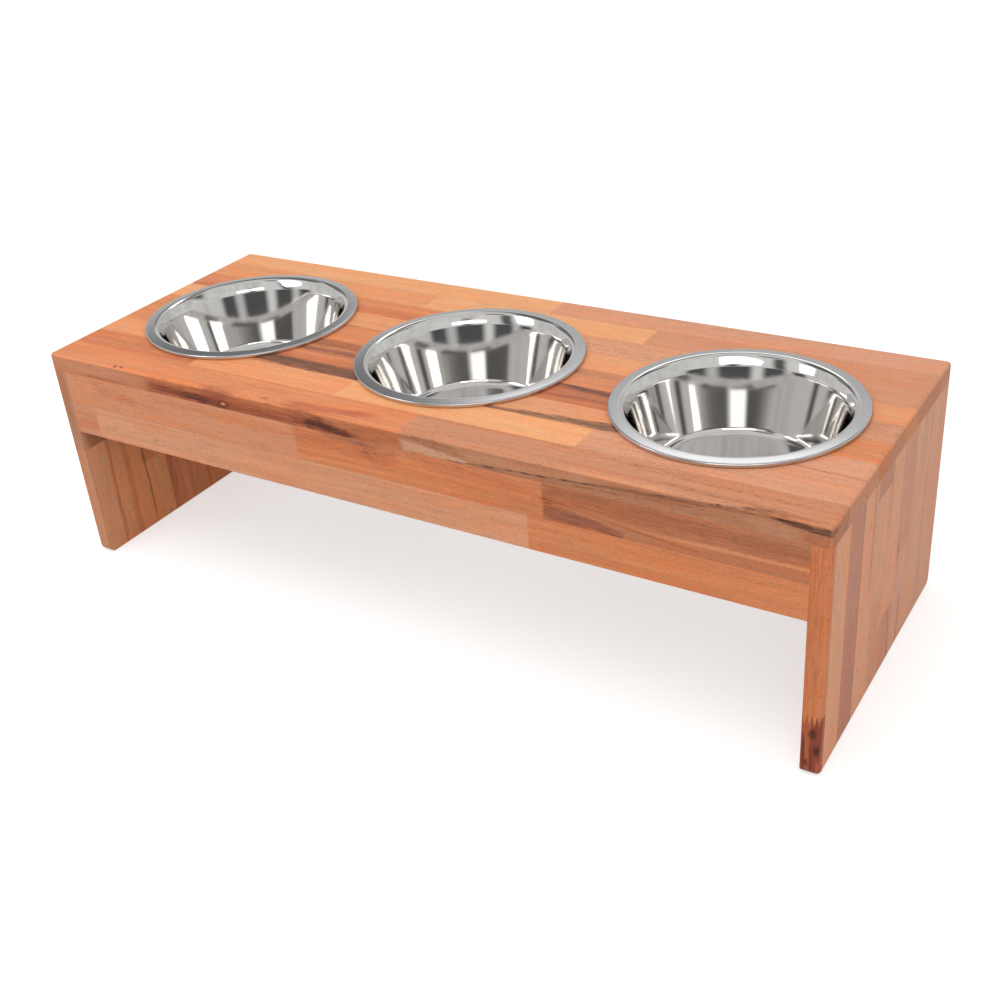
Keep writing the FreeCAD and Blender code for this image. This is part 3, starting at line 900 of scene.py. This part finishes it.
@dataclass
class LeftLeg(Panel):
    """Left leg of nine staves, from the front one to the back one. Streaks are placed in mm."""

    label: str = "left leg"
    stem: str = "left_leg_stave"

    def finish(self) -> OiledBeech:
        """Describes the leg's wood."""
        return OiledBeech("left_leg_beech", Grain.UPRIGHT, self.streaks())

    def streaks(self) -> tuple[Streak, ...]:
        """Describes the dark lines, and the lighter front edge of the top length."""
        rows = (
            (1, (130, -171), (265, -171), 7, Beech.PEACH, 0.8),
            (1, (-5, -142), (150, -138), 3, Beech.RUSSET, 0.6),
            (2, (-5, -118), (150, -116), 5, Beech.RUSSET, 0.5),
            (3, (20, -90), (105, -91), 1.7, Beech.HEART, 0.7),
            (4, (-5, -52), (240, -46), 8, Beech.RUSSET, 0.6),
            (5, (-5, 6), (180, 12), 2.2, Beech.UMBER, 0.55),
            (7, (40, 70), (245, 66), 3.5, Beech.RUSSET, 0.6),
        )
        return tuple(self.band(*row, soft=0.5) for row in rows)

    def looks(self) -> tuple[list[Length], ...]:
        """Describes each length of each stave."""
        return (
            [Length(Beech.PEACH, Beech.ORANGE), Length(Beech.ASH, Beech.UMBER, 0.6)],
            [Length(Beech.APRICOT, Beech.ORANGE)],
            [Length(Beech.APRICOT, Beech.ORANGE), Length(Beech.ORANGE, Beech.AMBER)],
            [Length(Beech.ORANGE, Beech.AMBER)],
            [Length(Beech.ORANGE, Beech.AMBER)],
            [Length(Beech.ORANGE, Beech.AMBER), Length(Beech.HONEY, Beech.APRICOT)],
            [Length(Beech.AMBER, Beech.UMBER, 0.6)],
            [Length(Beech.PEACH, Beech.TAN), Length(Beech.ROSE, Beech.TAN)],
            [Length(Beech.ORANGE, Beech.AMBER)],
        )


@dataclass
class RightLegStrip(Panel):
    """Narrow front strip of the right leg, whose two lengths mesh in a finger joint."""

    label: str = "right leg strip"
    stem: str = "right_leg_stave"
    overlap: float = 11 * MM

    def finish(self) -> OiledBeech:
        """Describes the strip's wood, with dark lines and small knots in the lower length."""
        streaks = (
            self.edge((-5, 435), (42, 434), (6, 1.6), Beech.KNOT, 0.8, fade=10),
            self.edge((-5, 442), (30, 441), (6, 1.4), Beech.GARNET, 0.8, fade=10),
            self.edge((20, 448), (64, 449), (6, 1.6), Beech.GARNET, 0.7, fade=8),
        )
        knots = (
            Knot(1, (47, self.front, 441.5), (6, 5, 4), Beech.KNOT, 0.85),
            Knot(1, (29, self.front, 446.5), (7, 5, 3), Beech.KNOT, 0.95),
            Knot(1, (14, self.front, 437), (5, 5, 2.5), Beech.KNOT, 0.8),
        )
        return OiledBeech("right_strip_beech", Grain.UPRIGHT, streaks, knots, seam_start=-163.0)

    def looks(self) -> tuple[list[Length], ...]:
        """Describes the two lengths, the lower one first."""
        return ([Length(Beech.RUSSET, Beech.GARNET, 0.8), Length(Beech.AMBER, Beech.ORANGE, 0.6)],)


@dataclass
class RightLeg(Panel):
    """Right leg behind its front strip. Streaks are placed in mm."""

    label: str = "right leg"
    stem: str = "right_leg_stave"
    first_stave: int = 2

    def finish(self) -> OiledBeech:
        """Describes the leg's wood."""
        return OiledBeech("right_leg_beech", Grain.UPRIGHT, self.streaks(), seam_start=-163.0)

    def streaks(self) -> tuple[Streak, ...]:
        """Describes the brown lines, and the red that rises from the foot."""
        rows = (
            (3, (-5, -106), (120, -106), 18, Beech.RUSSET, 0.45),
            (3, (-5, -89), (240, -89), 2.5, Beech.UMBER, 0.5),
            (4, (138, -57), (245, -57), 4, Beech.CLAY, 0.75),
            (5, (-5, -28), (95, -30), 22, Beech.AMBER, 0.4),
            (6, (175, -8), (236, -8), 2.4, Beech.CLAY, 0.7),
            (6, (-5, 23), (64, 12), 2.2, Beech.UMBER, 0.75),
            (7, (-5, 50), (50, 52), 3, Beech.UMBER, 0.75),
            (7, (105, 33), (132, 32), 2.5, Beech.UMBER, 0.6),
            (9, (10, 113), (236, 116), 2.4, Beech.AMBER, 0.55),
            (10, (-5, 160), (180, 158), 9, Beech.ORANGE, 0.4),
        )
        return tuple(self.band(*row, soft=0.6) for row in rows)

    def looks(self) -> tuple[list[Length], ...]:
        """Describes each length of each stave."""
        return (
            [Length(Beech.PEACH, Beech.APRICOT)],
            [Length(Beech.MAUVE, Beech.CLAY)],
            [Length(Beech.PEACH, Beech.APRICOT)],
            [Length(Beech.PEACH, Beech.ROSE), Length(Beech.MAUVE, Beech.ASH)],
            [Length(Beech.ROSE, Beech.AMBER, 0.6), Length(Beech.PEACH, Beech.APRICOT)],
            [Length(Beech.BLUSH, Beech.ROSE), Length(Beech.ROSE, Beech.MAUVE)],
            [Length(Beech.PEACH, Beech.TAN)],
            [Length(Beech.BLUSH, Beech.ROSE), Length(Beech.PEACH, Beech.ROSE)],
            [Length(Beech.BLUSH, Beech.ROSE)],
        )


@dataclass
class Apron(Panel):
    """An apron of two staves, the lower one first. Streaks are placed in mm."""

    low: float = 164.0

    def nodes(self) -> list[str]:
        """Names the lower and the upper stave."""
        return [f"{self.stem}_lower_stave", f"{self.stem}_upper_stave"]


@dataclass
class FrontApron(Apron):
    """Front apron."""

    label: str = "front apron"
    stem: str = "front_apron"

    def finish(self) -> OiledBeech:
        """Describes the apron's wood."""
        streaks = self.streaks_on_left() + self.streaks_on_right()
        knots = (
            Knot(1, (-436, 168, -171), (3, 3, 4), Beech.KNOT),
            Knot(1, (-307, 179, -171), (5, 1.2, 4), Beech.UMBER, 0.6),
        )
        return OiledBeech("front_apron_beech", Grain.RAIL, streaks, knots, seam_start=self.low)

    def streaks_on_left(self) -> tuple[Streak, ...]:
        """Describes the red mottles of the left length, and the red top and whorl of the middle one."""
        return (
            self.band(2, (-385, 230), (-340, 224), 8, Beech.RUSSET, 0.6, fade=14, broken=0.8, soft=0.6),
            self.band(2, (-350, 222), (-290, 220), 5, Beech.AMBER, 0.6, broken=0.5, soft=0.7),
            self.band(2, (-290, 232), (-110, 228), 6, Beech.AMBER, 0.4, fade=40, soft=0.8),
            self.band(2, (-100, 233), (20, 228), 11, Beech.RUSSET, 0.5, fade=10, soft=0.8),
            self.band(2, (-60, 238), (0, 236), 3, Beech.PLUM, 0.6, fade=20, soft=0.6),
            self.band(2, (-22, 228), (10, 224), 7, Beech.GARNET, 0.5, fade=12, broken=0.7, soft=0.6),
            self.band(2, (60, 232), (182, 226), 7, Beech.AMBER, 0.7, fade=30, soft=0.6),
        )

    def streaks_on_right(self) -> tuple[Streak, ...]:
        """Describes the right length: brown above, a red-brown block at the joint, then stripes."""
        return (
            self.band(2, (184, 232), (450, 228), 11, Beech.UMBER, 0.75, taper=0.6, fade=5, soft=0.6),
            self.band(2, (184, 237), (330, 234), 2, Beech.UMBER, 0.6, fade=20, broken=0.5),
            self.band(2, (184, 212), (262, 204), 11, Beech.GARNET, 0.6, taper=0.4, fade=4),
            self.band(2, (184, 223), (330, 207), 1.6, Beech.GARNET, 0.65, fade=8, soft=0.6),
            self.band(2, (230, 222), (400, 216), 3.5, Beech.UMBER, 0.4, fade=40, broken=0.5, soft=0.7),
            self.band(2, (210, 219), (320, 212), 3, Beech.ORANGE, 0.5, fade=30, soft=0.7),
            self.band(2, (325, 214.5), (436, 215), 2.2, Beech.APRICOT, 0.9, fade=40, soft=0.6),
            self.band(2, (300, 208), (436, 208.5), 4, Beech.AMBER, 0.7, fade=30, soft=0.6),
        )

    def looks(self) -> tuple[list[Length], ...]:
        """Describes each length of each stave."""
        return (
            [
                Length(Beech.ROSE, Beech.AMBER), Length(Beech.PEACH, Beech.TAN),
                Length(Beech.ORANGE, Beech.AMBER),
            ],
            [
                Length(Beech.ROSE, Beech.ORANGE, 0.6), Length(Beech.ORANGE, Beech.AMBER, 0.7),
                Length(Beech.CLAY, Beech.AMBER, 0.6),
            ],
        )


@dataclass
class BackApron(Apron):
    """Back apron."""

    label: str = "back apron"
    stem: str = "back_apron"

    def finish(self) -> OiledBeech:
        """Describes the apron's wood."""
        rows = (
            (2, (-330, 226), (-210, 230), 3, Beech.UMBER),
            (1, (60, 180), (240, 186), 2.4, Beech.RUSSET),
            (2, (150, 214), (420, 208), 5, Beech.AMBER),
        )
        streaks = tuple(self.band(*row, 0.6, soft=0.5) for row in rows)
        return OiledBeech("back_apron_beech", Grain.RAIL, streaks, seam_start=self.low)

    def looks(self) -> tuple[list[Length], ...]:
        """Describes each length of each stave."""
        return (
            [
                Length(Beech.ORANGE, Beech.AMBER), Length(Beech.APRICOT, Beech.PEACH),
                Length(Beech.ROSE, Beech.TAN),
            ],
            [
                Length(Beech.TAN, Beech.CLAY), Length(Beech.APRICOT, Beech.ORANGE),
                Length(Beech.AMBER, Beech.RUSSET),
            ],
        )


@dataclass
class Dowels:
    """Hidden dowels in the glued joints."""

    finish: RawDowel = field(default_factory=RawDowel)
    nodes: tuple[str, ...] = (
        "left_leg_dowels",
        "right_leg_dowels",
        "front_apron_top_dowels",
        "front_apron_left_dowels",
        "front_apron_right_dowels",
        "back_apron_top_dowels",
        "back_apron_left_dowels",
        "back_apron_right_dowels",
    )

    def dress(self) -> None:
        """Gives all dowels their finish."""
        material = self.finish.material()
        for node in self.nodes:
            dress_node(node, material)
            log.info("dowels: %s", node)


class Skin(Enum):
    """The three surfaces of a bowl, in the order of its material slots."""

    INSIDE = 0
    FLANGE = 1
    OUTSIDE = 2


@dataclass
class Bowl:
    """Pressed steel bowl, turned from its section. Sizes are in metres; heights count from the board."""

    name: str
    flange: float = 13.5 * MM
    drop: float = 1.2 * MM
    mouth: float = 5.68 * MM
    flare_width: float = 6.3 * MM
    flare_height: float = 11.0 * MM
    floor_radius: float = 84.0 * MM
    sheet: float = 0.8 * MM
    curl: float = 2.8 * MM
    rim_bend: float = 1.8 * MM
    mouth_bend: float = 6.0 * MM
    neck_bend: float = 25.8 * MM
    floor_bend: float = 9.0 * MM
    around: int = 224
    sharp_angle: float = 50.0

    def build(self) -> bpy.types.Object:
        """Turns the section into a mesh in the place of its solid.

        Returns:
            The bowl.
        """
        low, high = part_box(self.name)
        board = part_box("top_stave_5")[1].z
        rim = (high.x - low.x) / 2
        spot = Vector(((low.x + high.x) / 2, (low.y + high.y) / 2, board))
        section, skins = self.section(rim, low.z - board)
        mesh = self.turn(section, skins)
        bowl = put(f"{self.name}_steel", mesh)
        bowl.location = spot
        return bowl

    def section(self, rim: float, base: float) -> tuple[list[tuple[float, float]], list[Skin]]:
        """Works out the section from the middle of the floor to the middle of the underside.

        Args:
            rim: Radius of the rim.
            base: Height of the underside, below the board.

        Returns:
            The points, and the skin of the band after each point.
        """
        sheet = self.sheet
        mouth = self.mouth
        edge = mouth - self.drop
        floor = base + sheet
        throat = rim - self.flange
        neck = throat - self.flare_width
        neck_height = mouth - self.flare_height
        wall = (neck - self.floor_radius) / (neck_height - floor)
        flare = self.flare_width / self.flare_height
        thick_wall = sheet * math.hypot(1.0, wall)
        thick_flare = sheet * math.hypot(1.0, flare)
        shift = (thick_flare - thick_wall) / (wall - flare)
        bend = self.rim_bend
        corners = [
            (0.0, floor, 0.0, Skin.INSIDE),
            (self.floor_radius, floor, self.floor_bend, Skin.INSIDE),
            (neck, neck_height, self.neck_bend, Skin.INSIDE),
            (throat, mouth, self.mouth_bend, Skin.FLANGE),
            (rim, edge, bend, Skin.FLANGE),
            (rim, 0.0, bend, Skin.OUTSIDE),
            (rim - self.curl, 0.0, 0.0, Skin.OUTSIDE),
            (rim - self.curl, sheet, 0.0, Skin.OUTSIDE),
            (rim - sheet, sheet, bend - sheet, Skin.OUTSIDE),
            (rim - sheet, edge - sheet, bend - sheet, Skin.OUTSIDE),
            (throat + thick_flare - sheet * flare, mouth - sheet, self.mouth_bend - sheet, Skin.OUTSIDE),
            (neck + wall * shift + thick_wall, neck_height + shift, self.neck_bend - sheet, Skin.OUTSIDE),
            (self.floor_radius + thick_wall - sheet * wall, base, self.floor_bend + sheet, Skin.OUTSIDE),
            (0.0, base, 0.0, Skin.OUTSIDE),
        ]
        points: list[tuple[float, float]] = []
        skins: list[Skin] = []
        for number, (across, height, radius, skin) in enumerate(corners):
            spots = [(across, height)]
            if radius > 0:
                before = Vector(corners[number - 1][:2])
                after = Vector(corners[number + 1][:2])
                spots = rounded(before, Vector((across, height)), after, radius)
            points += spots
            skins += [corners[number - 1][3]] * (len(spots) - 1) + [skin]
        return points, skins

    def turn(self, section: list[tuple[float, float]], skins: list[Skin]) -> bpy.types.Mesh:
        """Spins a section about the upright axis.

        Args:
            section: Pairs of radius and height, with the first and last on the axis.
            skins: The skin of the band after each point.

        Returns:
            The mesh, smooth but for its sharp edges.
        """
        around = self.around
        rings = section[1:-1]
        corners = [(0.0, 0.0, section[0][1])]
        for radius, height in rings:
            for step in range(around):
                angle = math.tau * step / around
                corners.append((radius * math.cos(angle), radius * math.sin(angle), height))
        corners.append((0.0, 0.0, section[-1][1]))
        faces = []
        slots = []
        for step in range(around):
            after = (step + 1) % around
            faces.append((0, 1 + step, 1 + after))
            slots.append(skins[0].value)
            for ring in range(len(rings) - 1):
                inner, outer = 1 + ring * around, 1 + (ring + 1) * around
                faces.append((inner + step, outer + step, outer + after, inner + after))
                slots.append(skins[ring + 1].value)
            last = 1 + (len(rings) - 1) * around
            faces.append((last + step, len(corners) - 1, last + after))
            slots.append(Skin.OUTSIDE.value)
        mesh = bpy.data.meshes.new(f"{self.name}_steel")
        mesh.from_pydata(corners, [], faces)
        for _ in Skin:
            mesh.materials.append(None)
        mesh.polygons.foreach_set("material_index", slots)
        mesh.shade_smooth()
        mesh.set_sharp_from_angle(angle=math.radians(self.sharp_angle))
        mesh.update()
        return mesh

    def dress(self, bowl: bpy.types.Object, finishes: dict[Skin, bpy.types.Material]) -> None:
        """Gives the bowl its steel, and lets it take the place of its solid.

        Args:
            bowl: The bowl's mesh object.
            finishes: The material of each skin.
        """
        for skin, material in finishes.items():
            bowl.data.materials[skin.value] = material
        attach(bowl, f"{self.name}_body")
        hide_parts(self.name)
        log.info("bowl: %s with %d faces", bowl.name, len(bowl.data.polygons))


def rounded(before: Vector, corner: Vector, after: Vector, radius: float) -> list[tuple[float, float]]:
    """Rounds one corner of a flat outline.

    Args:
        before: The corner before it.
        corner: The corner.
        after: The corner after it.
        radius: The radius of the arc.

    Returns:
        Points of the arc, which touches both sides.
    """
    inward = (before - corner).normalized()
    outward = (after - corner).normalized()
    half = inward.angle(outward) / 2
    middle = corner + (inward + outward).normalized() * (radius / math.sin(half))
    first = corner + inward * (radius / math.tan(half)) - middle
    last = corner + outward * (radius / math.tan(half)) - middle
    sweep = first.angle(last)
    steps = max(FEWEST_STEPS, math.ceil(math.degrees(sweep) / ARC_STEP))
    spots = []
    for step in range(steps + 1):
        share = step / steps
        ahead = math.sin((1 - share) * sweep) * first + math.sin(share * sweep) * last
        spots.append(tuple(middle + ahead / math.sin(sweep)))
    return spots


def bowl_steels() -> dict[Skin, bpy.types.Material]:
    """Makes the steel of a bowl's three skins.

    Returns:
        The materials.
    """
    inside = Steel("mirror_steel", (0.785, 0.765, 0.745), roughness=0.065, marks=0.03, dents=0.8)
    flange = Steel("satin_flange_steel", (0.66, 0.66, 0.67), roughness=0.24, marks=0.35, dents=0.3)
    outside = Steel("pressed_steel", (0.62, 0.62, 0.62), roughness=0.32, marks=0.3, dents=0.4)
    return {Skin.INSIDE: inside.material(), Skin.FLANGE: flange.material(), Skin.OUTSIDE: outside.material()}


@dataclass(frozen=True)
class Softbox:
    """An area lamp, aimed at a point. Sizes are in metres and power in watts."""

    name: str
    place: Place
    aim: Place
    size: tuple[float, float]
    power: float
    mirrored: bool = False

    def build(self) -> bpy.types.Object:
        """Hangs the lamp.

        Returns:
            The lamp.
        """
        lamp = bpy.data.lights.new(self.name, "AREA")
        lamp.shape = "RECTANGLE"
        lamp.size, lamp.size_y = self.size
        lamp.energy = self.power
        hung = put(self.name, lamp)
        hung.visible_glossy = self.mirrored
        hung.location = self.place
        hung.rotation_euler = (Vector(self.aim) - Vector(self.place)).to_track_quat("-Z", "Y").to_euler()
        return hung


@dataclass(frozen=True)
class Window:
    """A soft-edged part of the room that is lighter or darker, in degrees round from +X and up."""

    round: tuple[float, float]
    up: tuple[float, float]
    grey: float
    soft: float = 5.0

    def mask(self, graph: Graph, azimuth: Signal, height: Signal) -> Signal:
        """Is 1 inside the window and falls to 0 over its soft edge."""
        mask = graph.step(azimuth, self.round[0] - self.soft, self.round[0] + self.soft)
        mask = mask * graph.step(azimuth, self.round[1] + self.soft, self.round[1] - self.soft)
        mask = mask * graph.step(height, self.up[0] - self.soft / 2, self.up[0] + self.soft / 2)
        return mask * graph.step(height, self.up[1] + self.soft / 2, self.up[1] - self.soft / 2)


@dataclass(frozen=True)
class Room:
    """A room that only reflections show: grey walls with bright lamps and dark corners."""

    centre: Place = (0.0, 0.0, 0.22)
    radius: float = 2.8
    walls: float = 0.68
    windows: tuple[Window, ...] = (
        Window((222, 350), (-10, 17), 0.09),
        Window((238, 248), (-10, 17), 0.60),
        Window((272, 284), (-10, 17), 0.75),
        Window((318, 330), (-10, 17), 0.55),
        Window((222, 350), (17, 40), 0.75),
        Window((246, 260), (17, 40), 0.12),
        Window((298, 310), (17, 40), 0.12),
        Window((130, 200), (40, 64), 0.14),
        Window((60, 118), (51, 66), 0.16),
        Window((240, 275), (47, 62), 0.20),
        Window((22, 82), (35, 47), 0.14),
        Window((80, 130), (5, 28), 0.57),
        Window((128, 175), (20, 38), 0.19),
        Window((86, 122), (38, 50), 2.0),
    )

    def build(self) -> bpy.types.Object:
        """Builds the room round the stand.

        Returns:
            The room.
        """
        mesh = bpy.data.meshes.new("room")
        shape = bmesh.new()
        bmesh.ops.create_uvsphere(shape, u_segments=64, v_segments=32, radius=self.radius)
        shape.to_mesh(mesh)
        shape.free()
        mesh.materials.append(self.material())
        room = put("room", mesh)
        room.location = self.centre
        for kind in ("camera", "diffuse", "transmission", "volume_scatter", "shadow"):
            setattr(room, f"visible_{kind}", False)
        return room

    def material(self) -> bpy.types.Material:
        """Makes the light of the walls, with each window laid over them in turn.

        Returns:
            The finished material.
        """
        made, graph = new_material("room_light")
        x, y, z = graph.coordinates("Object")
        azimuth = graph.maths("DEGREES", graph.maths("ARCTAN2", y, x)) % 360.0
        height = graph.maths("DEGREES", graph.maths("ARCSINE", z / self.radius))
        clouds = graph.noise(graph.join(x * 1.6, y * 1.6, z * 1.6), 2.0)
        posts = graph.noise(graph.join(azimuth / 7.0, height / 60.0, 0.0), 2.0)
        light = self.walls * (0.45 + clouds * 0.6 + posts * 0.5)
        for window in self.windows:
            light = light + window.mask(graph, azimuth, height) * (window.grey - light)
        graph.principled(
            {
                "Base Color": (0.0, 0.0, 0.0, 1.0),
                "Specular IOR Level": 0.0,
                "Emission Color": light,
                "Emission Strength": 1.0,
            }
        )
        return made


@dataclass
class Studio:
    """Pale floor, white surroundings, soft lamps and the camera."""

    floor_width: float = 60.0
    floor_drop: float = 0.2 * MM
    floor_grey: float = 0.62
    floor_lift: float = 0.55
    daylight: float = 0.84
    eye: Place = (0.7169, -1.0376, 0.8159)
    aim: Place = (0.0226, 0.0, 0.0915)
    roll: float = -4.864
    lens: float = 47.19
    sensor: float = 36.0
    lamps: tuple[Softbox, ...] = (
        Softbox("top_softbox", (-0.2, -0.5, 1.9), (0.0, 0.0, 0.2), size=(1.6, 1.2), power=9.0),
        Softbox(
            "camera_softbox",
            (0.62, -1.02, 1.0),
            (0.0, 0.0, 0.25),
            size=(0.95, 0.3),
            power=2.4,
            mirrored=True,
        ),
        Softbox(
            "left_softbox",
            (-0.5, -0.5, 0.75),
            (0.0, 0.0, 0.25),
            size=(0.3, 0.3),
            power=0.75,
            mirrored=True,
        ),
    )
    room: Room = field(default_factory=Room)

    def build(self) -> None:
        """Sets up floor, surroundings, lamps and camera."""
        self.lay_floor()
        self.light_surroundings()
        self.room.build()
        for lamp in self.lamps:
            lamp.build()
        self.set_camera()
        bpy.context.scene.view_settings.view_transform = "Standard"
        log.info("studio: %d lamps, a room and a floor", len(self.lamps))

    def lay_floor(self) -> None:
        """Lays the floor, which looks white, keeps the object's shadow and is clear from below."""
        half = self.floor_width / 2
        corners = [(-half, -half, 0), (half, -half, 0), (half, half, 0), (-half, half, 0)]
        mesh = bpy.data.meshes.new("floor")
        mesh.from_pydata(corners, [], [(0, 1, 2, 3)])
        made, graph = new_material("pale_floor")
        grey = (self.floor_grey, self.floor_grey, self.floor_grey, 1.0)
        matt = graph.node("ShaderNodeBsdfDiffuse", {}, {"Color": grey})
        glow = graph.node("ShaderNodeEmission", {}, {"Strength": self.floor_lift * self.seen(graph)})
        both = graph.node("ShaderNodeAddShader", {}, {0: matt, 1: glow})
        below = graph.node("ShaderNodeNewGeometry", {}, {}, "Backfacing")
        clear = graph.node("ShaderNodeBsdfTransparent")
        whole = graph.node("ShaderNodeMixShader", {}, {0: below, 1: both, 2: clear})
        graph.surface(whole)
        mesh.materials.append(made)
        floor = put("floor", mesh)
        floor.location.z = -self.floor_drop

    def seen(self, graph: Graph) -> Signal:
        """Is 1 for rays that show the surroundings: straight, mirrored or through glass."""
        path = graph.node("ShaderNodeLightPath")
        outputs = path.socket.node.outputs
        rays = [Signal(graph, outputs[f"Is {kind} Ray"]) for kind in ("Camera", "Glossy", "Transmission")]
        return graph.maths("MINIMUM", rays[0] + rays[1] + rays[2], 1.0)

    def light_surroundings(self) -> None:
        """Makes the surroundings white to look at and a plain soft light otherwise."""
        world = bpy.data.worlds.new("surroundings")
        world.use_nodes = True
        bpy.context.scene.world = world
        graph = Graph(world.node_tree)
        strength = self.daylight + self.seen(graph) * (1.0 - self.daylight)
        glow = graph.node("ShaderNodeBackground", {}, {"Color": (1.0, 1.0, 1.0, 1.0), "Strength": strength})
        graph.surface(glow, "World")

    def set_camera(self) -> None:
        """Puts the camera where the photograph was taken from."""
        lens = bpy.data.cameras.new("camera")
        lens.lens = self.lens
        lens.sensor_width = self.sensor
        camera = put("camera", lens)
        ahead = (Vector(self.aim) - Vector(self.eye)).to_track_quat("-Z", "Y")
        turn = Matrix.Rotation(math.radians(self.roll), 3, "Z")
        camera.rotation_euler = (ahead.to_matrix() @ turn).to_euler()
        camera.location = self.eye
        bpy.context.scene.camera = camera


def main() -> None:
    """Builds and dresses the stand, then the studio."""
    logging.basicConfig(level=logging.INFO, format="%(message)s")
    for panel in (TopBoard(), LeftLeg(), RightLegStrip(), RightLeg(), FrontApron(), BackApron()):
        panel.dress()
    Dowels().dress()
    steels = bowl_steels()
    for name in ("left_bowl", "middle_bowl", "right_bowl"):
        bowl = Bowl(name)
        bowl.dress(bowl.build(), steels)
    Studio().build()


if __name__ == "__main__":
    main()
